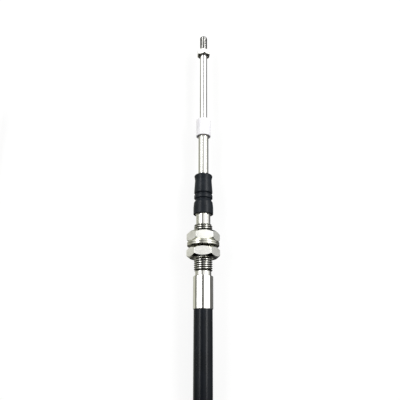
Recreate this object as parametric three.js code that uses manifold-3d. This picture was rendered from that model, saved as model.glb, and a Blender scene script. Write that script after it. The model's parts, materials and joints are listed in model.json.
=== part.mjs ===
// Push-pull control cable with a bulkhead fitting on each end.
// Each fitting is a threaded hub crimped on the cable, with two jam nuts and two lock washers,
// a support sleeve that swivels in the hub, a rubber boot, a wiper and a threaded rod.
// Millimetres, +Z up. The near fitting lies along +Y, and the origin is on the floor under its middle.
import * as THREE from "three";
import { mergeVertices } from "three/addons/utils/BufferGeometryUtils.js";
import Module from "manifold-3d";

const manifold = await Module();
manifold.setup();

// Driving dimensions. "At" values are places along a fitting's own axis, which points out of the
// cable: the swivel's centre is at 0.
const roundSides = 20;
const ringSides = 36;
const coilSides = 40;
const leadSides = 10;
const clearance = 0.3;
const faceGap = 0.1;
const edgeChamfer = 0.2;

const rodDiameter = 4.76;
const rodInsideSleeve = 32;
const rodBareLength = 47.8;
const studDiameter = 4.83;
const studLength = 14.9;
const studChamfer = 0.7;

const rodNutAcrossFlats = 7.94;
const rodNutThickness = 3.9;
const rodNutTurn = 24;

const sleeveDiameter = 6.35;
const sleeveWall = 0.475;
const sleeveLength = 57;
const ballRadius = 3.95;

const wiperDiameter = 9.4;
const wiperLength = 12.5;
const wiperCover = 7.9;
const wiperTipRounding = 1.1;

const bootTopAt = 22.9;
const bootEndAt = -2.9;
const bellDiameter = 11.7;
const bellWall = 0.65;
const bellCavityTopAt = 3.1;
// Heights along the boot, from its open end: the bell, a groove, a ring, a second groove, the flare.
const bellStraightHeight = 4.8;
const bellShoulderHeight = 7;
const bellShoulderStep = 0.5;
const lowerGrooveHeight = 8.4;
const lowerGrooveLength = 0.6;
const lowerGrooveRadius = 4.9;
const ringFromHeight = 9.6;
const ringToHeight = 11;
const ringRadius = 5.42;
const upperGrooveHeight = 11.9;
const upperGrooveRadius = 4.8;
const flareHeight = 12.9;
const flareLength = 1.1;
// The waist and the rolled lip, measured down from the boot's top.
const waistDepth = 5;
const waistLength = 1;
const waistRadius = 4.95;
const lipDepth = 2;
const lipCentreRadius = 4.3;
const lipSize = 1.1;

const socketWall = 0.55;
const socketGap = 0.25;
const socketMouthAt = 2.2;
const socketMouthRadius = 3.6;
const neckDiameter = 8.6;
const headEndAt = -2.5;
const threadDiameter = 11.11;
const threadStartAt = -9;
const threadLength = 28.4;
const threadChamfer = 0.6;
const reliefDiameter = 9.5;
const reliefLength = 2.5;
const crimpRidgeDiameter = 12.1;
const crimpFlats = 8;
const crimpFlatRatio = 0.962;
const crimpLength = 19.4;
const crimpChamfer = 0.7;

const nutAcrossFlats = 17.46;
const nutThickness = 6.35;
const frontNutTurn = -4.5;
const rearNutTurn = 2.5;
const nutChamferAngle = 30;
const frontNutBackAt = -19.85;
const rearNutFrontAt = -23.1;

const washerDiameter = 19.3;
const washerThickness = 1.05;

const cableDiameter = 11;
const coilOuterTurnRadius = 70;
const coilTurnsWide = 2;
const coilTurnsHigh = 2;
const coilRounding = 0.6;
const coilCentreY = -223;
const farFittingAhead = 85;

// Sizes that follow from them.
const cableRadius = cableDiameter / 2;
const sleeveBore = sleeveDiameter / 2 - sleeveWall;
const reliefStartAt = threadStartAt - threadLength;
const crimpStartAt = reliefStartAt - reliefLength;
const crimpEndAt = crimpStartAt - crimpLength;
const rodInnerEndAt = sleeveLength - rodInsideSleeve;
const wiperBaseAt = sleeveLength - wiperCover;
const wiperTipAt = wiperBaseAt + wiperLength;
const rodShoulderAt = wiperTipAt + rodBareLength;
const studTipAt = rodShoulderAt + studLength;
const fittingMiddleAt = (studTipAt + crimpEndAt) / 2;
// The fitting rests on the rims of its washers, which are wider than the nuts across their flats.
const axisHeight = washerDiameter / 2;
const coilCentreX = -coilOuterTurnRadius;
const farFittingX = -2 * coilOuterTurnRadius;
const farFittingStartY = coilCentreY + farFittingAhead;

const finishes = {
  plated: { color: 0xc9c9c0, roughness: 0.22, metalness: 1 },
  polished: { color: 0xd8d8d6, roughness: 0.12, metalness: 1 },
  rubber: { color: 0x1c1c1e, roughness: 0.55, metalness: 0 },
  nylon: { color: 0xf1f0f2, roughness: 0.4, metalness: 0 },
  jacket: { color: 0x16181d, roughness: 0.4, metalness: 0 },
};

function mesh(name, geometry, finish) {
  const made = new THREE.Mesh(geometry, new THREE.MeshStandardMaterial(finishes[finish]));
  made.name = name;
  return made;
}

// A turned solid about the fitting's axis, from [radius, at] pairs.
function turned(outline, sides = roundSides) {
  const points = outline.map(([radius, at]) => new THREE.Vector2(radius, at));
  return new THREE.LatheGeometry(points, sides);
}

// A turned ring, whose outline is closed on itself.
function turnedRing(outline, sides = roundSides) {
  return turned([...outline, outline[0]], sides);
}

// Points of an arc in the [radius, at] plane, angles in degrees from the outward direction.
function arc(radius, at, size, from, to, steps) {
  return Array.from({ length: steps + 1 }, (_, k) => {
    const angle = THREE.MathUtils.degToRad(from + ((to - from) * k) / steps);
    return [radius + size * Math.cos(angle), at + size * Math.sin(angle)];
  });
}

// A regular prism about the fitting's axis. The first corner is at the angle given, from +X to +Z.
function prism(corners, cornerRadius, fromAt, toAt, firstCorner) {
  const shape = new THREE.Shape(
    Array.from({ length: corners }, (_, k) => {
      const angle = THREE.MathUtils.degToRad(firstCorner + (360 * k) / corners);
      return new THREE.Vector2(cornerRadius * Math.cos(angle), cornerRadius * Math.sin(angle));
    }),
  );
  const geometry = new THREE.ExtrudeGeometry(shape, { depth: toAt - fromAt, bevelEnabled: false });
  geometry.rotateX(Math.PI / 2);
  geometry.translate(0, toAt, 0);
  return geometry;
}

function solid(geometry) {
  const bare = geometry.clone();
  bare.deleteAttribute("normal");
  bare.deleteAttribute("uv");
  const merged = mergeVertices(bare, 1e-4);
  return new manifold.Manifold(
    new manifold.Mesh({
      numProp: 3,
      vertProperties: merged.attributes.position.array,
      triVerts: new Uint32Array(merged.index.array),
    }),
  );
}

function geometryOf(body) {
  const { vertProperties, triVerts } = body.getMesh();
  const geometry = new THREE.BufferGeometry();
  geometry.setAttribute("position", new THREE.BufferAttribute(new Float32Array(vertProperties), 3));
  geometry.setIndex(new THREE.BufferAttribute(new Uint32Array(triVerts), 1));
  geometry.computeVertexNormals();
  return geometry;
}

// A hexagon nut with both ends chamfered, its bore clear of the thread that it holds.
function nutGeometry(acrossFlats, thickness, threadSize, backAt, turn) {
  const corner = acrossFlats / 2 / Math.cos(Math.PI / 6);
  const bearing = acrossFlats / 2 - edgeChamfer;
  const bore = threadSize / 2 + clearance;
  const drop = (corner - bearing) * Math.tan(THREE.MathUtils.degToRad(nutChamferAngle));
  const reach = corner + edgeChamfer;
  const extra = (reach - bearing) * Math.tan(THREE.MathUtils.degToRad(nutChamferAngle)) - drop;
  const frontAt = backAt + thickness;
  const blank = turnedRing([
    [bore, backAt],
    [bearing, backAt],
    [reach, backAt + drop + extra],
    [reach, frontAt - drop - extra],
    [bearing, frontAt],
    [bore, frontAt],
  ], ringSides);
  return geometryOf(solid(prism(6, corner, backAt, frontAt, turn)).intersect(solid(blank)));
}

function hubGeometry() {
  const socketRadius = ballRadius + socketGap;
  const headRadius = socketRadius + socketWall;
  const thread = threadDiameter / 2;
  const mouthAngle = THREE.MathUtils.radToDeg(Math.asin(socketMouthAt / socketRadius));
  const body = turned([
    [0, crimpStartAt],
    [reliefDiameter / 2, crimpStartAt],
    [reliefDiameter / 2, reliefStartAt],
    [thread, reliefStartAt + threadChamfer],
    [thread, threadStartAt - threadChamfer],
    [thread - threadChamfer, threadStartAt],
    [neckDiameter / 2, threadStartAt],
    [neckDiameter / 2, headEndAt - edgeChamfer],
    [headRadius, headEndAt],
    [headRadius, socketMouthAt - edgeChamfer],
    [headRadius - edgeChamfer, socketMouthAt],
    [socketMouthRadius, socketMouthAt],
    ...arc(0, 0, socketRadius, mouthAngle, -90, 8).slice(0, -1),
    [0, -socketRadius],
  ]);
  const ridge = crimpRidgeDiameter / 2;
  const corner = (ridge * crimpFlatRatio) / Math.cos(Math.PI / crimpFlats);
  const swaged = turned([
    [0, crimpEndAt],
    [ridge - crimpChamfer, crimpEndAt],
    [ridge, crimpEndAt + crimpChamfer],
    [ridge, crimpStartAt - crimpChamfer],
    [ridge - crimpChamfer, crimpStartAt],
    [0, crimpStartAt],
  ], ringSides);
  const crimp = solid(prism(crimpFlats, corner, crimpEndAt, crimpStartAt, 90));
  return geometryOf(solid(body).add(crimp.intersect(solid(swaged))));
}

function sleeveGeometry() {
  const outer = sleeveDiameter / 2;
  const joinAngle = THREE.MathUtils.radToDeg(Math.acos(outer / ballRadius));
  const boreAngle = THREE.MathUtils.radToDeg(Math.acos(sleeveBore / ballRadius));
  return turnedRing([
    ...arc(0, 0, ballRadius, -boreAngle, joinAngle, 8),
    [outer, sleeveLength - edgeChamfer],
    [outer - edgeChamfer, sleeveLength],
    [sleeveBore, sleeveLength],
  ]);
}

function wiperGeometry() {
  const outer = wiperDiameter / 2;
  const rodHole = rodDiameter / 2 + clearance;
  const sleeveHole = sleeveDiameter / 2 + clearance;
  return turnedRing([
    [sleeveHole, wiperBaseAt],
    [outer - edgeChamfer, wiperBaseAt],
    [outer, wiperBaseAt + edgeChamfer],
    [outer, wiperTipAt - wiperTipRounding],
    [outer - wiperTipRounding, wiperTipAt],
    [rodHole, wiperTipAt],
    [rodHole, sleeveLength + faceGap],
    [sleeveHole, sleeveLength + faceGap],
  ]);
}

function bootGeometry() {
  const hole = sleeveDiameter / 2 + clearance;
  const bell = bellDiameter / 2;
  const cavity = bell - bellWall;
  const top = bootTopAt;
  const end = bootEndAt;
  return turnedRing([
    [cavity, end],
    [bell, end],
    [bell, end + bellStraightHeight],
    [bell - bellShoulderStep, end + bellShoulderHeight],
    [lowerGrooveRadius, end + lowerGrooveHeight],
    [lowerGrooveRadius, end + lowerGrooveHeight + lowerGrooveLength],
    [ringRadius, end + ringFromHeight],
    [ringRadius, end + ringToHeight],
    [upperGrooveRadius, end + upperGrooveHeight],
    [ringRadius, end + flareHeight],
    [ringRadius, end + flareHeight + flareLength],
    [waistRadius, top - waistDepth],
    [waistRadius, top - waistDepth + waistLength],
    ...arc(lipCentreRadius, top - lipDepth, lipSize, -30, 70, 4),
    [lipCentreRadius, top],
    [hole, top],
    [hole, bellCavityTopAt],
    [cavity, bellCavityTopAt],
  ]);
}

function rodGeometry() {
  const rod = rodDiameter / 2;
  const stud = studDiameter / 2;
  return turned([
    [0, rodInnerEndAt],
    [rod, rodInnerEndAt],
    [rod, rodShoulderAt],
    [stud, rodShoulderAt],
    [stud, studTipAt - studChamfer],
    [stud - studChamfer, studTipAt],
    [0, studTipAt],
  ]);
}

function washerGeometry(backAt) {
  const outer = washerDiameter / 2;
  const hole = threadDiameter / 2 + clearance;
  return turnedRing([
    [hole, backAt],
    [outer - edgeChamfer, backAt],
    [outer, backAt + edgeChamfer],
    [outer, backAt + washerThickness - edgeChamfer],
    [outer - edgeChamfer, backAt + washerThickness],
    [hole, backAt + washerThickness],
  ], ringSides);
}

// One fitting with its ten pieces, along +Y, with the swivel's centre at the group's origin.
function fitting(end) {
  const frontWasherAt = frontNutBackAt - faceGap - washerThickness;
  const rearWasherAt = frontWasherAt - faceGap - washerThickness;
  const rearNutBackAt = rearNutFrontAt - nutThickness;
  const frontNut = nutGeometry(nutAcrossFlats, nutThickness, threadDiameter, frontNutBackAt, frontNutTurn);
  const rearNut = nutGeometry(nutAcrossFlats, nutThickness, threadDiameter, rearNutBackAt, rearNutTurn);
  const rodNut = nutGeometry(
    rodNutAcrossFlats, rodNutThickness, studDiameter, rodShoulderAt + faceGap, rodNutTurn,
  );
  const group = new THREE.Group();
  group.add(
    mesh(`${end}_hub`, hubGeometry(), "plated"),
    mesh(`${end}_front_nut`, frontNut, "plated"),
    mesh(`${end}_front_washer`, washerGeometry(frontWasherAt), "plated"),
    mesh(`${end}_rear_washer`, washerGeometry(rearWasherAt), "plated"),
    mesh(`${end}_rear_nut`, rearNut, "plated"),
    mesh(`${end}_sleeve`, sleeveGeometry(), "plated"),
    mesh(`${end}_boot`, bootGeometry(), "rubber"),
    mesh(`${end}_wiper`, wiperGeometry(), "nylon"),
    mesh(`${end}_rod`, rodGeometry(), "polished"),
    mesh(`${end}_rod_nut`, rodNut, "plated"),
  );
  return group;
}

// The cable is one piece: two leads with a plain section, and a ring in the shape of the coil.
function leadGeometry(route, steps) {
  const section = new THREE.Shape(
    Array.from({ length: leadSides }, (_, k) => {
      const angle = (2 * Math.PI * k) / leadSides;
      return new THREE.Vector2(cableRadius * Math.cos(angle), cableRadius * Math.sin(angle));
    }),
  );
  const path = new THREE.CatmullRomCurve3(route.map((point) => new THREE.Vector3(...point)));
  return new THREE.ExtrudeGeometry(section, { steps, extrudePath: path, bevelEnabled: false });
}

function coilGeometry() {
  const outside = coilOuterTurnRadius + cableRadius;
  const inside = outside - coilTurnsWide * cableDiameter;
  const top = coilTurnsHigh * cableDiameter;
  const round = cableRadius * coilRounding;
  return turnedRing([
    [inside + round, 0],
    [outside - round, 0],
    [outside, round],
    [outside, top - round],
    [outside - round, top],
    [inside + round, top],
    [inside, top - round],
    [inside, round],
  ], coilSides);
}

const nearStartY = crimpEndAt - fittingMiddleAt;
// A lead beside the coil's tangent line meets the ring's outside this far from the coil's middle.
const coilEdgeY = coilCentreY + 2 * Math.sqrt(coilOuterTurnRadius * cableRadius) + 4 * clearance;
const nearLeadRoute = [
  [0, nearStartY - clearance, axisHeight],
  [0, nearStartY - 16, axisHeight],
  [0, nearStartY - 32, axisHeight - 0.9],
  [0, nearStartY - 48, axisHeight - 2.2],
  [0, nearStartY - 64, cableRadius + 0.4],
  [0, nearStartY - 78, cableRadius],
  [0, coilEdgeY, cableRadius],
];
const farLeadRoute = [
  [farFittingX, coilEdgeY, cableRadius + 7.6],
  [farFittingX, coilEdgeY + 11, cableRadius + 5.8],
  [farFittingX, coilEdgeY + 22, axisHeight + 0.7],
  [farFittingX, coilEdgeY + 33, axisHeight],
  [farFittingX, farFittingStartY - clearance, axisHeight],
];

const nearFitting = fitting("near");
nearFitting.position.set(0, -fittingMiddleAt, axisHeight);
const farFitting = fitting("far");
farFitting.position.set(farFittingX, farFittingStartY - crimpEndAt, axisHeight);

const coil = mesh("cable_coil", coilGeometry(), "jacket");
coil.rotation.x = Math.PI / 2;
coil.position.set(coilCentreX, coilCentreY, 0);

const cable = new THREE.Group();
cable.add(
  nearFitting,
  mesh("cable_near_lead", leadGeometry(nearLeadRoute, 8), "jacket"),
  coil,
  mesh("cable_far_lead", leadGeometry(farLeadRoute, 6), "jacket"),
  farFitting,
);

export default cable;
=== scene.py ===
# %% [markdown]
# # A push-pull control cable with a bulkhead fitting on each end
#
# The object is a black jacketed cable. Each end has a steel hub that is crimped on the jacket, two
# jam nuts and two lock washers that clamp it in a panel, a sleeve that swivels in the hub's socket,
# a rubber boot over that joint, a white wiper, and a rod with a threaded stud. Only one end is in
# the picture. The rest of the cable lies coiled just below the frame.
#
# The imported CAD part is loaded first, as a fixed frame. Every piece made here stands where the CAD
# says, in metres, and rides on one of its bodies.

# %% Load the frame
import json
import math

import bmesh
import bpy
from mathutils import Matrix, Vector
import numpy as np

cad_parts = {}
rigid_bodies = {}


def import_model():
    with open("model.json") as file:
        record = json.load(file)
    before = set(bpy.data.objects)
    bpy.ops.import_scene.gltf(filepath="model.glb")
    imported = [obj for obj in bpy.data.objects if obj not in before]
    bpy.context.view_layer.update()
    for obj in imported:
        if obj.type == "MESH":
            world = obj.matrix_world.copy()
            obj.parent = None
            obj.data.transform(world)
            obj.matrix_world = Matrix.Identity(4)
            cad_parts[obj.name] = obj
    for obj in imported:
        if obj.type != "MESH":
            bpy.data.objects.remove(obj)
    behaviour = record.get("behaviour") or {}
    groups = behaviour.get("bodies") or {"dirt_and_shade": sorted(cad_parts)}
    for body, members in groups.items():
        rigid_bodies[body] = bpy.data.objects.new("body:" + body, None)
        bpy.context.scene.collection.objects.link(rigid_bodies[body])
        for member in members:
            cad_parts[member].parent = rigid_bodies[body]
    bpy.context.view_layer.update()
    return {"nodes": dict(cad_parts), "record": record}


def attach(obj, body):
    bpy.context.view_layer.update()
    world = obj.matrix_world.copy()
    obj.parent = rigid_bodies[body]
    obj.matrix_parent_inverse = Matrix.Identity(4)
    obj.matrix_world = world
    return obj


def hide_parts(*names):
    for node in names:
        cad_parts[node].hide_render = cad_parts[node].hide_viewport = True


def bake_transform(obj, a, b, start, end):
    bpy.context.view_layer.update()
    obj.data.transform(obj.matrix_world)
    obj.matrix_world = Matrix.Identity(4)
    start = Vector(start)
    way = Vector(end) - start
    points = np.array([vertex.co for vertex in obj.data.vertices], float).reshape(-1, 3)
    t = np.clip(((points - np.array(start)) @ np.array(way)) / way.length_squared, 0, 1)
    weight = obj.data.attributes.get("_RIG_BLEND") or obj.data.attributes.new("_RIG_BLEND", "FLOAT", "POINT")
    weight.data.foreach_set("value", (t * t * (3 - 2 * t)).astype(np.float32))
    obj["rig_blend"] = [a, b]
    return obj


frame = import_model()
mm = 0.001

# %% [markdown]
# ## The camera
#
# A camera can be placed by eye, or worked out from things in the picture whose real sizes are
# known. Here the length of the fitting and the height of its oval edges gave the angle, 72 degrees
# above the floor from the cable's side, and the shrinking pitch of the parts gave the distance. The
# object leans a little to the right in the picture, so the camera is rolled by as much.

# %% Camera
camera_height_angle = math.radians(72)
camera_distance = 0.308
camera_target = Vector((-0.00205, -0.0255, 0.00965))
camera_roll = math.radians(0.22)

camera_data = bpy.data.cameras.new("camera")
camera_data.lens = 45
camera_data.sensor_width = 36
camera_data.clip_start = 0.01
camera = bpy.data.objects.new("camera", camera_data)
bpy.context.collection.objects.link(camera)
back = Vector((0, -math.cos(camera_height_angle), math.sin(camera_height_angle)))
camera.location = camera_target + camera_distance * back
camera.rotation_euler = (
    (-back).to_track_quat("-Z", "Y").to_matrix() @ Matrix.Rotation(camera_roll, 3, "Z")
).to_euler()
bpy.context.scene.camera = camera
print("Camera at", [round(value, 4) for value in camera.location])

# %% [markdown]
# ## Where the two fittings lie
#
# Both fittings are the same, so each piece is made once, in millimetres about its own axis, and
# then set down on both ends. The place of an end is its swivel's centre, which the CAD gives as the
# pivot of a hinge. Places along the axis are called "at": the swivel's centre is at 0, and they
# grow towards the rod's tip.

# %% Swivel centres
swivel_centre = {
    joint["name"].split("_")[0]: Vector(joint["pos_m"])
    for joint in frame["record"]["behaviour"]["joints"]
    if joint["type"] == "hinge"
}
axis_height = swivel_centre["near"].z
crimp_end_at = -59.3
for end, centre in swivel_centre.items():
    print(end, "swivel at", [round(value, 4) for value in centre])

# %% [markdown]
# ## Colours and nodes
#
# Colours are picked as the sRGB hex codes that a screen shows, but the shader works with linear
# light, so one function turns one into the other. A second one adds a node, sets its options and
# fills or links its sockets, so each finish below reads as a list of what it is made of.

# %% Colour and node helpers
def linear(hex_code):
    channels = [int(hex_code[k:k + 2], 16) / 255 for k in (1, 3, 5)]
    return [c / 12.92 if c <= 0.04045 else ((c + 0.055) / 1.055) ** 2.4 for c in channels] + [1.0]


def add_node(tree, kind, inputs=None, **options):
    node = tree.nodes.new(kind)
    for name, value in options.items():
        setattr(node, name, value)
    for socket, value in (inputs or {}).items():
        if isinstance(value, bpy.types.NodeSocket):
            tree.links.new(value, node.inputs[socket])
        else:
            node.inputs[socket].default_value = value
    return node


def start_finish(name, **shader_values):
    finish = bpy.data.materials.new(name)
    finish.use_nodes = True
    tree = finish.node_tree
    shader = tree.nodes["Principled BSDF"]
    for socket, value in shader_values.items():
        shader.inputs[socket.replace("_", " ")].default_value = value
    return finish, tree, shader


def grain(tree, size, stretch=(1, 1, 1)):
    """Noise whose patches are about size millimetres across, stretched along X, Y and Z."""
    place = add_node(tree, "ShaderNodeTexCoord").outputs["Object"]
    scale = [1 / (size * mm * factor) for factor in stretch]
    mapped = add_node(tree, "ShaderNodeMapping", {"Vector": place, "Scale": scale})
    noise = add_node(tree, "ShaderNodeTexNoise", {
        "Vector": mapped.outputs["Vector"], "Scale": 1.0, "Detail": 3.0, "Roughness": 0.55,
    })
    return noise.outputs["Fac"]


def shades(tree, amount, dark, light):
    """Fades between two colours where a pattern goes from its low to its high patches."""
    ramp = add_node(tree, "ShaderNodeValToRGB", {"Fac": amount})
    for element, place, colour in zip(ramp.color_ramp.elements, (0.35, 0.65), (dark, light)):
        element.position = place
        element.color = linear(colour)
    return ramp.outputs["Color"]


def between(tree, amount, low, high):
    """Turns a pattern into a value from low to high, such as a roughness."""
    limits = {"Value": amount, "From Min": 0.3, "From Max": 0.7, "To Min": low, "To Max": high}
    return add_node(tree, "ShaderNodeMapRange", limits).outputs["Result"]


def relief(tree, shader, amount, depth, strength=1.0):
    """Turns a pattern into bumps that are depth millimetres high."""
    bump = add_node(tree, "ShaderNodeBump", {
        "Height": amount, "Distance": depth * mm, "Strength": strength,
    })
    tree.links.new(bump.outputs["Normal"], shader.inputs["Normal"])


# %% [markdown]
# ## Extruded jacket
#
# The jacket is plastic that was pushed through a round die over the armour wires. The die leaves
# faint lengthwise lines, and the cooling plastic shrinks to a soft orange-peel surface. It is a
# near-black with a blue cast and a medium gloss. The lines run with the cable round every bend, so
# their pattern reads the curve's own UV, with many repeats round the jacket and few along it.

# %% Jacket finish
jacket_finish, tree, shader = start_finish("extruded_black_jacket", IOR=1.5, Specular_IOR_Level=0.17)
jacket_uv = add_node(tree, "ShaderNodeTexCoord").outputs["UV"]
line_repeats = (160, 90, 1)
lines = add_node(tree, "ShaderNodeTexNoise", {
    "Vector": add_node(
        tree, "ShaderNodeMapping", {"Vector": jacket_uv, "Scale": line_repeats}
    ).outputs["Vector"],
    "Scale": 1.0, "Detail": 2.0,
}).outputs["Fac"]
peel = grain(tree, 0.9)
mixed = add_node(tree, "ShaderNodeMath", {0: lines, 1: peel}, operation="ADD").outputs["Value"]
tree.links.new(shades(tree, grain(tree, 14), "#0a0d11", "#10141a"), shader.inputs["Base Color"])
tree.links.new(between(tree, grain(tree, 3), 0.2, 0.26), shader.inputs["Roughness"])
relief(tree, shader, mixed, 0.012, 0.4)
print("Made", jacket_finish.name)

# %% [markdown]
# ## The cable
#
# A cable of this kind is sold by its length: here about 1.63 m of jacket between the two hubs, so
# that it is 2 m from tip to tip. It leaves the near hub straight, sinks to the floor under its own
# weight, and is wound as for storage into three and a half turns, two side by side and two high.
# A mesh tube would need its own rings, while a curve with a round bevel keeps one centreline and
# stays smooth, so it is a curve. The listed points are the leads, and a formula gives the turns.

# %% Route of the cable
cable_radius = 5.5
coil_middle = (-70, -223)
outer_turn, inner_turn = 70, 59
low_layer, high_layer = 5.5, 16.5
# Where the winding changes: degrees wound, radius of the turn, height of the centreline.
winding = [
    (0, outer_turn, low_layer),
    (300, outer_turn, low_layer),
    (345, inner_turn, low_layer),
    (615, inner_turn, low_layer),
    (660, inner_turn, high_layer),
    (930, inner_turn, high_layer),
    (975, outer_turn, high_layer),
    (1260, outer_turn, high_layer),
]
near_lead = [
    (0, -91.3, 9.65), (0, -100, 9.65), (0, -107.8, 9.65), (0, -123.8, 8.75), (0, -139.8, 7.45),
    (0, -155.8, 5.9), (0, -169.8, 5.5), (0, -181.8, 5.5), (0, -195.5, 5.5), (0, -209.3, 5.5),
]
far_lead = [
    (-140, -213, 16.4), (-140, -203, 16.0), (-140, -192.5, 14.9), (-140, -181.8, 13.1),
    (-140, -170.8, 11.3), (-140, -159.8, 10.2), (-140, -148.8, 9.65), (-140, -142.5, 9.65),
    (-140, -137.2, 9.65),
]
degrees_per_point = 15


def eased(share):
    return share * share * (3 - 2 * share)


turns = []
for (begin, radius, height), (finish_angle, next_radius, next_height) in zip(winding, winding[1:]):
    for angle in range(begin, finish_angle, degrees_per_point):
        share = eased((angle - begin) / (finish_angle - begin))
        r = radius + (next_radius - radius) * share
        z = height + (next_height - height) * share
        theta = math.radians(angle)
        turns.append((coil_middle[0] + r * math.cos(theta), coil_middle[1] - r * math.sin(theta), z))
turns.append((coil_middle[0] - outer_turn, coil_middle[1], high_layer))
route = [Vector(point) * mm for point in near_lead + turns + far_lead]
print(len(route), "points in the cable's route")

# %% Cable as a bevelled curve
cable_curve = bpy.data.curves.new("jacketed_cable", "CURVE")
cable_curve.dimensions = "3D"
cable_curve.bevel_depth = cable_radius * mm
cable_curve.bevel_resolution = 14
cable_curve.resolution_u = 5
cable_curve.use_fill_caps = True
cable_line = cable_curve.splines.new("BEZIER")
cable_line.bezier_points.add(len(route) - 1)
for knot, point in zip(cable_line.bezier_points, route):
    knot.co = point
    knot.handle_left_type = "AUTO"
    knot.handle_right_type = "AUTO"
cable = bpy.data.objects.new("jacketed_cable", cable_curve)
bpy.context.collection.objects.link(cable)
cable_curve.materials.append(jacket_finish)
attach(cable, "cable")
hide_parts("cable_near_lead", "cable_coil", "cable_far_lead")
cable_length = cable_line.calc_length()
print("Cable length:", round(cable_length, 4), "m")

# %% [markdown]
# ## Shop tools: turning, threading and setting down
#
# Most pieces are turned. An outline of radius and place is drawn on one side of the axis and spun
# once round it, which is what a lathe does. Corners are rounded in the outline before the spin,
# because a real edge always catches a thin line of light. A piece is set down on both ends as a
# mesh whose points are already in place, smooth except where two faces meet at a real edge.

# %% Outline and turning
same_point = 0.0002
long_stretch, ring_inset = 1.5, 0.06


def rounded(corners, steps=4):
    """Outline points from (radius, at) corners. A third number rounds the corner by that radius."""
    points = []
    for k, (radius, at, *rounding) in enumerate(corners):
        here = Vector((radius, at))
        if not rounding:
            points.append(here)
            continue
        before = (Vector(corners[k - 1][:2]) - here).normalized()
        after = (Vector(corners[(k + 1) % len(corners)][:2]) - here).normalized()
        half = before.angle(after) / 2
        centre = here + (before + after).normalized() * (rounding[0] / math.sin(half))
        first = here + before * (rounding[0] / math.tan(half)) - centre
        last = here + after * (rounding[0] / math.tan(half)) - centre
        sweep = first.angle_signed(last)
        for step in range(steps + 1):
            points.append(centre + Matrix.Rotation(-sweep * step / steps, 2) @ first)
    return points


def arc(radius, at, size, begin, finish_angle, steps):
    angles = [math.radians(begin + (finish_angle - begin) * k / steps) for k in range(steps + 1)]
    return [Vector((radius + size * math.cos(a), at + size * math.sin(a))) for a in angles]


def held(outline, closed):
    """Adds a point near both ends of each long stretch, so its shading stays straight."""
    points = [Vector(point) for point in outline]
    pairs = list(zip(points, points[1:] + points[:1]))
    spaced = []
    for here, there in pairs if closed else pairs[:-1]:
        spaced.append(here)
        step = (there - here).normalized() * ring_inset
        if (there - here).length > long_stretch:
            spaced += [here + step, there - step]
    return spaced if closed else spaced + [points[-1]]


def turn(blank, outline, closed=False, sides=72):
    """Spins an outline once round the fitting's axis. A closed outline makes a ring."""
    points = [blank.verts.new((radius, at, 0)) for radius, at in held(outline, closed)]
    edges = [blank.edges.new(pair) for pair in zip(points, points[1:])]
    if closed:
        edges.append(blank.edges.new((points[-1], points[0])))
    bmesh.ops.spin(
        blank, geom=points + edges, cent=(0, 0, 0), axis=(0, 1, 0), dvec=(0, 0, 0),
        angle=math.tau, steps=sides, use_merge=True,
    )
    bmesh.ops.remove_doubles(blank, verts=blank.verts, dist=same_point)


def open_rim(blank, at):
    """The edges round a piece's open end."""
    return [
        edge for edge in blank.edges
        if edge.is_boundary and all(abs(vert.co.y - at) < 0.001 for vert in edge.verts)
    ]


def join_rims(blank, at):
    bmesh.ops.bridge_loops(blank, edges=open_rim(blank, at))


# %% [markdown]
# A thread's outline is one tooth of a 60-degree screw. It is spun along a helix, which is what a
# threading tool does. Each point also notes how deep it lies, and the finishes darken the roots by
# that note: partly dirt and flux, partly painted shade, since the roots lie in shade.

# %% Thread
dirt_and_shade_attribute = "dirt_and_painted_shade"
thread_depth, root_spread = 0.54, 1.25


def cut_thread(blank, radius, pitch, begin, finish_at, chamfer, sides=48):
    """An open threaded tube, cut square at both ends and chamfered."""
    minor = radius - thread_depth * pitch
    tooth = [(minor, 0), (minor, 0.125), (radius, 0.4375), (radius, 0.5625), (minor, 0.875), (minor, 1)]
    points = [blank.verts.new((r, begin + pitch * (place - 1), 0)) for r, place in tooth]
    edges = [blank.edges.new(pair) for pair in zip(points, points[1:])]
    whole_turns = math.ceil((finish_at - begin) / pitch) + 2
    bmesh.ops.spin(
        blank, geom=points + edges, cent=(0, 0, 0), axis=(0, 1, 0), dvec=(0, pitch / sides, 0),
        angle=math.tau * whole_turns, steps=sides * whole_turns,
    )
    bmesh.ops.remove_doubles(blank, verts=blank.verts, dist=0.002)
    for cut_at, drop_outer in ((begin, False), (finish_at, True)):
        bmesh.ops.bisect_plane(
            blank, geom=blank.verts[:] + blank.edges[:] + blank.faces[:], dist=0.0001,
            plane_co=(0, cut_at, 0), plane_no=(0, 1, 0),
            clear_outer=drop_outer, clear_inner=not drop_outer,
        )
    # Each point notes how deep it lies in the thread, and the finish darkens the roots by it: partly dirt,
    # partly painted shade.
    dirt_and_shade = blank.verts.layers.float.new(dirt_and_shade_attribute)
    for vert in blank.verts:
        reach = math.hypot(vert.co.x, vert.co.z)
        vert[dirt_and_shade] = min(1, root_spread * (radius - reach) / (radius - minor))
        limit = radius - chamfer + min(vert.co.y - begin, finish_at - vert.co.y)
        if reach > limit:
            vert.co.x *= limit / reach
            vert.co.z *= limit / reach


# %% Setting a piece down on both ends
sharp_edge_angle = math.radians(27)


def set_down(name, node, blank, finish, body=None, ends=("near", "far")):
    """Puts one copy of a piece on each fitting. body names what carries it, for near and for far."""
    bmesh.ops.recalc_face_normals(blank, faces=blank.faces)
    pieces = []
    for end in ends:
        centre = swivel_centre[end]
        mesh = bpy.data.meshes.new(f"{end}_{name}")
        blank.to_mesh(mesh)
        mesh.transform(Matrix.Translation(centre) @ Matrix.Scale(mm, 4))
        mesh.shade_smooth()
        mesh.set_sharp_from_angle(angle=sharp_edge_angle)
        mesh.materials.append(finish)
        piece = bpy.data.objects.new(f"{end}_{name}", mesh)
        bpy.context.collection.objects.link(piece)
        if body:
            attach(piece, body.format(end=end))
        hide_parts(f"{end}_{node}")
        pieces.append(piece)
    print(name, "has", len(blank.faces), "faces")
    blank.free()
    return pieces
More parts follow.
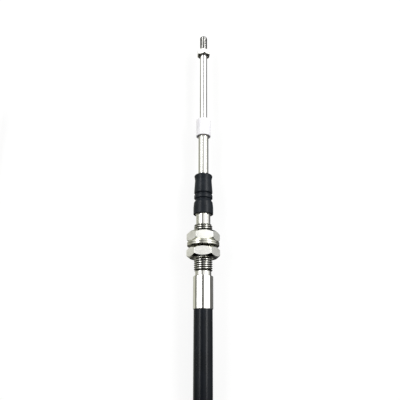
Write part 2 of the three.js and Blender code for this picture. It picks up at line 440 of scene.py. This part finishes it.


# %% [markdown]
# ## Bright zinc plate
#
# The steel pieces are turned or cut from bar and then zinc plated, which leaves a bright silver
# with a faint yellow cast. Under the plate the turned surfaces keep the tool's fine rings, so their
# pattern is squeezed along the axis and endless round it. The nuts are cut from drawn hexagon bar,
# whose lines run along the axis: their flats are dull and milky, while their turned ends are smooth.
# The washers are stamped from spring steel. Their plate is darker, partly the steel's own tone and
# partly painted shade between the nuts. One function makes all three from their grain.

# %% Plated finishes
turned_attribute, turned_roughness = "turned_end", 0.1
# The dark colour mixed into thread roots (dirt and painted shade) and onto crimp ridges (a painted dark
# reflection).
dirt_and_shade_colour = "#2a2a25"


def soiled_and_shaded(tree, metal):
    """The metal's colour, darker in the roots of a thread, from dirt and painted shade, and on the ridges of
    the crimp, as a painted dark reflection.
    """
    dirt_and_shade = add_node(tree, "ShaderNodeAttribute", attribute_name=dirt_and_shade_attribute).outputs["Fac"]
    # The factor and the two colours of a colour mix are its sockets 0, 6 and 7, and it gives out 2.
    mixed_colour = add_node(
        tree, "ShaderNodeMix", {0: dirt_and_shade, 6: metal, 7: linear(dirt_and_shade_colour)}, data_type="RGBA",
    )
    return mixed_colour.outputs[2]


def zinc_plate(
    name, line_stretch, line_size, line_depth, rough_low, rough_high, metallic=1.0,
    dark="#e2e2da", light="#efefea",
):
    finish, tree, shader = start_finish(name, Metallic=metallic, IOR=2.5)
    plate = shades(tree, grain(tree, 5), dark, light)
    # Marked roots and ridges are darkened here: dirt, painted shade and a painted dark reflection.
    tree.links.new(soiled_and_shaded(tree, plate), shader.inputs["Base Color"])
    drawn = between(tree, grain(tree, 1.2), rough_low, rough_high)
    turned = add_node(tree, "ShaderNodeAttribute", attribute_name=turned_attribute).outputs["Fac"]
    roughness = add_node(tree, "ShaderNodeMix", {0: turned, 2: drawn, 3: turned_roughness})
    tree.links.new(roughness.outputs[0], shader.inputs["Roughness"])
    if metallic < 1:
        share = add_node(tree, "ShaderNodeMapRange", {"Value": turned, "To Min": metallic})
        tree.links.new(share.outputs["Result"], shader.inputs["Metallic"])
    relief(tree, shader, grain(tree, line_size, line_stretch), line_depth)
    return finish


turned_zinc = zinc_plate("bright_zinc_on_turned_steel", (60, 1, 60), 0.25, 0.0008, 0.07, 0.12)
hexagon_zinc = zinc_plate("bright_zinc_on_hexagon_bar", (1, 40, 1), 0.35, 0.002, 0.3, 0.4, 0.62)
# The washers' darker plate is partly their own tone, partly painted shade from lying between the nuts.
stamped_zinc = zinc_plate(
    "bright_zinc_on_spring_steel", (1, 1, 1), 0.6, 0.002, 0.2, 0.28, dark="#c6c6bb", light="#d4d4c9",
)
print("Made", turned_zinc.name, hexagon_zinc.name, stamped_zinc.name)

# %% [markdown]
# ## Hub
#
# The hub is one turned piece. Its front is the socket that holds the sleeve's ball, then a short
# neck, then the long 7/16-20 thread for the two nuts. Behind a relief groove it is a tube that was
# pressed on the jacket by eight jaws: each jaw leaves a flat, and metal squeezed up between two
# jaws leaves a low ridge, with a painted dark reflection along it. The turned stretches are spun,
# the thread is a real helix, and the crimp is built from rings of points. Open rims at the same
# place are then bridged.

# %% Hub's front: socket, neck and thread
thread_radius, thread_pitch, thread_chamfer = 5.555, 1.27, 0.6
thread_begin_at, thread_end_at = -9, -37.4
relief_radius, neck_radius = 4.75, 4.3
socket_inner, socket_outer, head_end_at = 4.2, 4.75, -2.5
mouth_radius, mouth_at, mouth_angle = 3.6, 2.2, 31.6
hub = bmesh.new()
cut_thread(hub, thread_radius, thread_pitch, thread_end_at, thread_begin_at, thread_chamfer)
turn(hub, rounded([
    (relief_radius, thread_begin_at),
    (neck_radius, thread_begin_at, 0.15),
    (neck_radius, head_end_at - socket_outer + neck_radius),
    (socket_outer, head_end_at, 0.1),
    (socket_outer, mouth_at, 0.2),
    (mouth_radius, mouth_at),
    *arc(0, 0, socket_inner, mouth_angle, -90, 16),
]))
join_rims(hub, thread_begin_at)
print("Hub's front:", len(hub.faces), "faces")

# %% Hub's back: relief groove and crimp
crimp_begin_at = -39.9
flat_radius, ridge_radius = 5.66, 5.82
# The last number is how dark the crimp's ridges are painted, as a painted dark reflection.
fin_height, fin_width, ridge_painted_reflection = 0.05, 0.45, 0.85
jaw_count, crimp_points = 8, 192
half_jaw = math.tau / jaw_count / 2


def crimp_ring(blank, at, inset, tongue):
    """A closed ring of points in the crimp's shape, smaller by inset, its ridges pulled back."""
    dirt_and_shade = blank.verts.layers.float[dirt_and_shade_attribute]
    ring = []
    for k in range(crimp_points):
        around = math.tau * k / crimp_points
        from_ridge = (around + half_jaw) % (2 * half_jaw) - half_jaw
        flat = flat_radius / math.cos(half_jaw - abs(from_ridge))
        fin = math.exp(-(abs(from_ridge) * ridge_radius / fin_width) ** 2)
        radius = min(flat, ridge_radius) + fin_height * fin - inset
        vert = blank.verts.new((
            radius * math.cos(around), at - tongue * fin, radius * math.sin(around),
        ))
        # The ridges are painted dark, standing in for a dark reflection.
        vert[dirt_and_shade] = ridge_painted_reflection * fin
        ring.append(vert)
    return [blank.edges.new((ring[k - 1], ring[k])) for k in range(crimp_points)]


# Place, how much smaller the ring is there, and how far its ridges are pulled back.
crimp_stations = [
    (crimp_begin_at, 0.55, 0), (crimp_begin_at - 0.25, 0.16, 0), (crimp_begin_at - 0.6, 0, 0),
    (crimp_begin_at - 0.7, 0, 0), (crimp_end_at + 0.85, 0, 0), (crimp_end_at + 0.75, 0, 0),
    (crimp_end_at + 0.35, 0.1, 0.2), (crimp_end_at + 0.3, 0.3, 0.25),
]
jacket_hole, jacket_hole_at = 5.45, crimp_end_at + 0.45
turn(hub, [(relief_radius, thread_end_at), (relief_radius, crimp_begin_at)])
rings = [crimp_ring(hub, *station) for station in crimp_stations]
turn(hub, [(jacket_hole, jacket_hole_at), (jacket_hole - 0.05, crimp_end_at + 2)])
join_rims(hub, thread_end_at)
hub_rims = [edge for edge in open_rim(hub, crimp_begin_at) if edge not in rings[0]]
for first, second in zip([hub_rims] + rings, rings):
    bmesh.ops.bridge_loops(hub, edges=first + second)
bmesh.ops.bridge_loops(hub, edges=rings[-1] + open_rim(hub, jacket_hole_at))
set_down("crimped_hub", "hub", hub, turned_zinc, "cable")

# %% [markdown]
# ## Jam nuts
#
# A jam nut is a thin nut, here 11/16 in across its flats. Its corners are chamfered on both faces
# by turning, and where the cone meets the six flats it leaves the arcs that every nut shows. The
# same two cuts make it here: a chamfered disc is turned, and six planes then cut it to a hexagon.
# The faces that face along the axis are then marked as turned, for the finish.

# %% Nuts
bearing_share, nut_chamfer_angle, bore_chamfer = 0.93, math.radians(40), 0.5
disc_spare = 0.2


def cut_nut(across_flats, thickness, hole, back_at, turn_angle, corner_rounding):
    outside = across_flats / 2 / math.cos(math.pi / 6) + disc_spare
    bearing = across_flats / 2 * bearing_share
    drop = (outside - bearing) * math.tan(nut_chamfer_angle)
    front_at = back_at + thickness
    blank = bmesh.new()
    turn(blank, rounded([
        (hole, back_at + bore_chamfer), (hole + bore_chamfer, back_at), (bearing, back_at, 0.1),
        (outside, back_at + drop), (outside, front_at - drop),
        (bearing, front_at, 0.1), (hole + bore_chamfer, front_at), (hole, front_at - bore_chamfer),
    ]), closed=True, sides=96)
    for k in range(6):
        angle = math.radians(turn_angle + 30 + 60 * k)
        outward = Vector((math.cos(angle), 0, math.sin(angle)))
        cut = bmesh.ops.bisect_plane(
            blank, geom=blank.verts[:] + blank.edges[:] + blank.faces[:], dist=0.0001,
            plane_co=outward * across_flats / 2, plane_no=outward, clear_outer=True,
        )
        rim = [part for part in cut["geom_cut"] if isinstance(part, bmesh.types.BMEdge)]
        bmesh.ops.edgeloop_fill(blank, edges=rim)
    # The hexagon's six corners run along the axis, each between two flats.
    corners = [
        side for side in blank.edges
        if abs(side.verts[0].co.y - side.verts[1].co.y) > thickness * 0.3
        and len(side.link_faces) == 2 and side.calc_face_angle() > 0.8
    ]
    bmesh.ops.bevel(
        blank, geom=corners, offset=corner_rounding, segments=2, affect="EDGES", profile=0.5,
        material=-1,
    )
    blank.normal_update()
    turned = blank.faces.layers.float.new(turned_attribute)
    for face in blank.faces:
        face[turned] = 1.0 if abs(face.normal.y) > 0.3 else 0.0
    return blank


hub_nut_flats, hub_nut_thickness, hub_nut_hole = 17.46, 6.35, 5.5
front_nut_turn, rear_nut_turn, hub_nut_rounding = -4.5, 2.5, 0.12
front_nut_back_at, rear_nut_front_at = -19.85, -23.1
rear_nut_back_at = rear_nut_front_at - hub_nut_thickness
front_nut, rear_nut = (
    cut_nut(hub_nut_flats, hub_nut_thickness, hub_nut_hole, back_at, turn_angle, hub_nut_rounding)
    for back_at, turn_angle in (
        (front_nut_back_at, front_nut_turn), (rear_nut_back_at, rear_nut_turn),
    )
)
set_down("front_jam_nut", "front_nut", front_nut, hexagon_zinc, "cable")
set_down("rear_jam_nut", "rear_nut", rear_nut, hexagon_zinc, "cable")

# %% [markdown]
# ## Lock washers
#
# Between the nuts sit two internal-tooth lock washers, stamped from spring steel: a flat ring with
# ten teeth on its inside, each twisted so that it bites the nut. A turned ring would be a plain
# washer, so the outline is laid out flat, with the teeth in it, and thickened by an extrusion.

# %% Washers
washer_radius, washer_thickness = 9.65, 1.05
tooth_root, tooth_tip, tooth_count = 7.6, 5.85, 10
tooth_from, tooth_to, tooth_twist = 0.2, 0.8, 0.25
rim_rounding, rim_points = 0.18, 240


def stamp_washer(back_at):
    blank = bmesh.new()
    outside, inside = [], []
    for k in range(rim_points):
        around = math.tau * k / rim_points
        direction = Vector((math.cos(around), 0, math.sin(around)))
        along = (tooth_count * k / rim_points) % 1
        is_tooth = tooth_from < along < tooth_to
        twist = tooth_twist * (2 * along - 1) / (tooth_to - tooth_from) if is_tooth else 0
        outside.append(blank.verts.new(direction * washer_radius + Vector((0, back_at, 0))))
        reach = tooth_tip if is_tooth else tooth_root
        inside.append(blank.verts.new(direction * reach + Vector((0, back_at + twist, 0))))
    rims = [
        blank.edges.new((rim[k - 1], rim[k])) for rim in (outside, inside) for k in range(rim_points)
    ]
    flat = bmesh.ops.bridge_loops(blank, edges=rims)["faces"]
    grown = bmesh.ops.extrude_face_region(blank, geom=flat, use_keep_orig=True)["geom"]
    raised = [part for part in grown if isinstance(part, bmesh.types.BMVert)]
    bmesh.ops.translate(blank, verts=raised, vec=(0, washer_thickness, 0))
    rim_edges = [
        side for side in blank.edges
        if all(math.hypot(v.co.x, v.co.z) > (washer_radius + tooth_root) / 2 for v in side.verts)
        and abs(side.verts[0].co.y - side.verts[1].co.y) < 0.01
    ]
    bmesh.ops.bevel(
        blank, geom=rim_edges, offset=rim_rounding, segments=3, affect="EDGES", profile=0.5,
        material=-1,
    )
    return blank


face_gap = 0.1
front_washer_at = front_nut_back_at - face_gap - washer_thickness
rear_washer_at = front_washer_at - face_gap - washer_thickness
for side, washer_at in (("front", front_washer_at), ("rear", rear_washer_at)):
    set_down(
        f"{side}_lock_washer", f"{side}_washer", stamp_washer(washer_at), stamped_zinc,
        "cable",
    )

# %% [markdown]
# ## Support sleeve
#
# The sleeve is a thin steel tube that guides the rod. Its inner end is swaged into a ball, which
# turns in the hub's socket, so the rod can follow a lever. Ball and tube are one closed outline.

# %% Sleeve
sleeve_radius, sleeve_bore, sleeve_end_at, ball_radius = 3.175, 2.7, 57, 3.95
ball_bore_angle = math.degrees(math.acos(sleeve_bore / ball_radius))
ball_join_angle = math.degrees(math.acos(sleeve_radius / ball_radius))
sleeve = bmesh.new()
turn(sleeve, rounded([
    *arc(0, 0, ball_radius, -ball_bore_angle, ball_join_angle, 20),
    (sleeve_radius, sleeve_end_at, 0.15),
    (sleeve_bore, sleeve_end_at, 0.1),
]), closed=True)
set_down("support_sleeve", "sleeve", sleeve, turned_zinc, "{end}_tube")

# %% [markdown]
# ## Moulded rubber
#
# The boot is moulded in black rubber. A steel mould that was lightly blasted leaves a satin skin
# with very fine grain, and the rubber's bloom makes soft, slightly greyer patches.

# %% Boot finish
boot_finish, tree, shader = start_finish("moulded_boot_rubber", IOR=1.5, Specular_IOR_Level=0.17)
tree.links.new(shades(tree, grain(tree, 4), "#10151a", "#171c22"), shader.inputs["Base Color"])
tree.links.new(between(tree, grain(tree, 1.5), 0.3, 0.38), shader.inputs["Roughness"])
relief(tree, shader, grain(tree, 0.12), 0.008, 0.6)
print("Made", boot_finish.name)

# %% [markdown]
# ## Rubber boot
#
# The boot keeps dirt out of the swivel. Its bell slips over the socket, two grooves make it supple,
# and a rolled lip grips the sleeve. When the sleeve swivels the bell stays on the hub while the
# rest goes with the sleeve, so the boot is blended between the two bodies instead of riding on one.

# %% Boot
boot_end, boot_top = -2.4, 24.1
bell_radius, bell_wall, bell_ceiling = 6.05, 0.65, 3.1
flare_radius, waist_radius, groove_radius = 5.66, 5.14, 4.85
lip_radius, lip_size = 5.62, 1.1
bend_begin_at, bend_end_at = -0.5, 12.5
boot = bmesh.new()
turn(boot, rounded([
    (bell_radius - bell_wall, boot_end, 0.12),
    (bell_radius, boot_end, 0.25),
    (bell_radius, boot_end + 4.6, 2),
    (bell_radius - 0.35, boot_end + 7.6, 1),
    (groove_radius, boot_end + 9, 0.3),
    (groove_radius, boot_end + 9.5, 0.2),
    (flare_radius, boot_end + 10.1, 0.35),
    (flare_radius, boot_end + 12, 0.35),
    (groove_radius, boot_end + 12.6, 0.2),
    (groove_radius, boot_end + 13, 0.2),
    (flare_radius, boot_end + 13.6, 0.35),
    (flare_radius, boot_end + 14.8, 3),
    (waist_radius, boot_top - 4.4, 1),
    *arc(lip_radius - lip_size, boot_top - 2, lip_size, -30, 75, 8),
    (sleeve_radius + 0.08, boot_top, 0.15),
    (sleeve_radius + 0.03, bell_ceiling),
    (bell_radius - bell_wall, bell_ceiling, 0.3),
]), closed=True)
boots = set_down("rubber_boot", "boot", boot, boot_finish)
for piece, (end, centre) in zip(boots, swivel_centre.items()):
    bend_from = centre + Vector((0, bend_begin_at * mm, 0))
    bend_to = centre + Vector((0, bend_end_at * mm, 0))
    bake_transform(piece, "cable", f"{end}_tube", start=bend_from, end=bend_to)

# %% [markdown]
# ## White nylon wiper
#
# The wiper is a short moulded collar, pressed on the sleeve's tip, that scrapes the rod clean. Its
# back end is a thin hollow skirt, which shows as a dark arc round the sleeve.
# Nylon is milky: light goes a little way in, so it gets a small amount of subsurface scattering.

# %% Wiper
nylon_finish, tree, shader = start_finish(
    "white_nylon", IOR=1.53, Subsurface_Weight=0.1, Subsurface_Scale=0.001,
    Subsurface_Radius=(1.0, 0.95, 0.9),
)
tree.links.new(shades(tree, grain(tree, 6), "#d6d5d9", "#dfdee0"), shader.inputs["Base Color"])
tree.links.new(between(tree, grain(tree, 2), 0.33, 0.42), shader.inputs["Roughness"])
relief(tree, shader, grain(tree, 0.3), 0.004, 0.5)

wiper_radius, wiper_base_at, wiper_tip_at = 4.7, 49.7, 61.6
skirt_wall, skirt_depth = 0.45, 2.2
nose_length, nose_step, slip = 0.6, 0.75, 0.05
rod_radius = 2.38
wiper = bmesh.new()
turn(wiper, rounded([
    (sleeve_radius + slip, wiper_base_at + skirt_depth),
    (wiper_radius - skirt_wall, wiper_base_at + skirt_depth),
    (wiper_radius - skirt_wall, wiper_base_at, 0.1),
    (wiper_radius, wiper_base_at, 0.2),
    (wiper_radius, wiper_tip_at - nose_length, 0.5),
    (wiper_radius - nose_step, wiper_tip_at, 0.5),
    (rod_radius + slip, wiper_tip_at, 0.15),
    (rod_radius + slip, sleeve_end_at + face_gap),
    (sleeve_radius + slip, sleeve_end_at + face_gap),
]), closed=True)
set_down("nylon_wiper", "wiper", wiper, nylon_finish, "{end}_tube")

# %% [markdown]
# ## Polished rod
#
# The rod slides through the wiper, so it is ground and polished stainless steel, with hair lines
# left along it by use. Its stud is threaded 10-32, and the rod is solid, so the outline runs from
# the axis out to the shoulder, and a thread and a domed tip close it. The far rod and its nut stay
# the frame's own solids, because they lie too far from the cable's line, and get the same finishes.

# %% Rod
rod_finish, tree, shader = start_finish("ground_stainless_rod", Metallic=1.0, IOR=2.5)
steel = shades(tree, grain(tree, 8), "#e2e2e0", "#efefee")
# The stud's thread roots are darkened: partly dirt, partly painted shade.
tree.links.new(soiled_and_shaded(tree, steel), shader.inputs["Base Color"])
tree.links.new(between(tree, grain(tree, 0.5, (1, 30, 1)), 0.07, 0.12), shader.inputs["Roughness"])
relief(tree, shader, grain(tree, 0.15, (1, 80, 1)), 0.0006)

rod_inner_at, rod_shoulder_at, stud_tip_at = 25, 109.4, 124.3
stud_radius, stud_pitch, stud_chamfer, stud_sides = 2.415, 0.794, 0.45, 36
dome_at = stud_tip_at - 0.1
rod = bmesh.new()
cut_thread(rod, stud_radius, stud_pitch, rod_shoulder_at, dome_at, stud_chamfer, stud_sides)
turn(rod, rounded([
    (0, rod_inner_at), (rod_radius, rod_inner_at, 0.2), (rod_radius, rod_shoulder_at - 0.3),
    (rod_radius - 0.5, rod_shoulder_at),
]), sides=64)
turn(rod, [(1.85, dome_at), (1.3, stud_tip_at - 0.02), (0, stud_tip_at)], sides=stud_sides)
join_rims(rod, rod_shoulder_at)
join_rims(rod, dome_at)
set_down("push_rod", "rod", rod, rod_finish, "{end}_push_rod", ["near"])
rod_nut_flats, rod_nut_thickness, rod_nut_hole = 7.94, 3.9, 2.36
rod_nut_back_at, rod_nut_turn, rod_nut_rounding = rod_shoulder_at + face_gap, 24, 0.08
rod_nut = cut_nut(
    rod_nut_flats, rod_nut_thickness, rod_nut_hole, rod_nut_back_at, rod_nut_turn, rod_nut_rounding,
)
set_down("rod_jam_nut", "rod_nut", rod_nut, hexagon_zinc, "{end}_push_rod", ["near"])
frame["nodes"]["far_rod"].material_slots[0].material = rod_finish
frame["nodes"]["far_rod_nut"].material_slots[0].material = hexagon_zinc

far_pieces = [piece for piece in bpy.context.scene.objects if piece.name.startswith("far_")
              and piece.type == "MESH" and piece.name not in frame["nodes"]]
far_pieces += [frame["nodes"]["far_rod"], frame["nodes"]["far_rod_nut"]]
print(len(far_pieces), "pieces on the cable's far end")

# %% [markdown]
# ## Floor, light and backdrop
#
# The picture is a high-key product shot: two long, narrow soft boxes above, left and right, and a
# pale floor that glows a little, as a light table does, so that shadows almost vanish. Polished
# metal shows whatever stands round it, so the dark edge lines on the rod and the sleeve come from
# what lies below the horizon. The floor is kept out of the reflections, and the world holds those
# tones instead, by direction round the cable's axis. The camera sees only a plain pale backdrop.

# %% Floor
floor_half_side, floor_drop, pale = 3, 0.0002, "#f8f8f8"
floor_blank = bmesh.new()
bmesh.ops.create_grid(floor_blank, x_segments=1, y_segments=1, size=floor_half_side)
floor_mesh = bpy.data.meshes.new("floor")
floor_blank.to_mesh(floor_mesh)
floor_blank.free()
floor = bpy.data.objects.new("floor", floor_mesh)
floor.location.z = -floor_drop
floor.visible_glossy = False
bpy.context.collection.objects.link(floor)
floor_finish, tree, shader = start_finish(
    "pale_floor", Roughness=0.9, Specular_IOR_Level=0.0,
    Emission_Color=linear(pale), Emission_Strength=0.88,
)
tree.links.new(shades(tree, grain(tree, 200), "#6a6a69", "#6e6e6e"), shader.inputs["Base Color"])
floor_mesh.materials.append(floor_finish)
print("Floor made")

# %% Soft boxes
soft_box_lean, soft_box_length, soft_box_distance = 18, 1.3, 0.9


def soft_box(name, sideways_angle, width, power):
    """An area light that leans sideways and a little towards the rod, its length along the cable."""
    lean = math.radians(soft_box_lean)
    side = math.radians(sideways_angle)
    direction = Vector((
        math.cos(lean) * math.sin(side), math.sin(lean), math.cos(lean) * math.cos(side),
    ))
    light_data = bpy.data.lights.new(name, "AREA")
    light_data.shape = "RECTANGLE"
    light_data.size = width
    light_data.size_y = soft_box_length
    light_data.energy = power
    light = bpy.data.objects.new(name, light_data)
    light.location = direction * soft_box_distance
    along = (Vector((0, 1, 0)) - direction * direction.y).normalized()
    light.rotation_euler = Matrix((along.cross(direction), along, direction)).transposed().to_euler()
    light.visible_camera = False
    bpy.context.collection.objects.link(light)


soft_box("right_soft_box", 44, 0.26, 7)
soft_box("left_soft_box", -41, 0.24, 5)
print("Two soft boxes made")

# %% World
world = bpy.data.worlds.new("studio")
bpy.context.scene.world = world
world.use_nodes = True
tree = world.node_tree
direction = add_node(tree, "ShaderNodeTexCoord").outputs["Generated"]
parts = add_node(tree, "ShaderNodeSeparateXYZ", {"Vector": direction}).outputs
round_axis = add_node(
    tree, "ShaderNodeMath", {0: parts["X"], 1: parts["Z"]}, operation="ARCTAN2"
).outputs["Value"]
share = add_node(tree, "ShaderNodeMapRange", {
    "Value": round_axis, "From Min": -math.pi, "From Max": math.pi,
}).outputs["Result"]
tones = add_node(tree, "ShaderNodeValToRGB", {"Fac": share})
# Degrees round the cable's axis from straight up, positive to the right, and how bright it is there.
brightest = 1.15
olive, neutral = (1.0, 1.0, 0.88), (1.0, 1.0, 1.0)
studio_tones = [
    (-180, 0.05, olive), (-165, 0.3, olive), (-140, 0.7, olive), (-112, 0.42, olive),
    (-84, 0.4, olive), (-74, 1.15, neutral), (-34, 1.15, neutral), (-26, 0.38, neutral),
    (-4, 0.33, neutral), (6, 1.1, neutral), (74, 1.15, neutral), (100, 0.6, neutral),
    (108, 0.12, neutral), (135, 0.2, neutral), (180, 0.04, neutral),
]
while len(tones.color_ramp.elements) < len(studio_tones):
    tones.color_ramp.elements.new(0.5)
for element, (degrees, light_level, tint) in zip(tones.color_ramp.elements, studio_tones):
    element.position = (degrees + 180) / 360
    element.color = [light_level / brightest * channel for channel in tint] + [1.0]
camera_side = add_node(tree, "ShaderNodeMapRange", {
    "Value": parts["Y"], "From Min": -0.75, "From Max": 0.05, "To Min": 0.0, "To Max": brightest,
}).outputs["Result"]
studio = add_node(tree, "ShaderNodeBackground", {
    "Color": tones.outputs["Color"], "Strength": camera_side,
})
backdrop = add_node(tree, "ShaderNodeBackground", {"Color": linear(pale), "Strength": 1.1})
seen_directly = add_node(tree, "ShaderNodeLightPath").outputs["Is Camera Ray"]
seen = add_node(tree, "ShaderNodeMixShader", {
    0: seen_directly, 1: studio.outputs[0], 2: backdrop.outputs[0],
})
tree.links.new(seen.outputs[0], tree.nodes["World Output"].inputs["Surface"])
bpy.context.scene.view_settings.view_transform = "Standard"
print("World made")
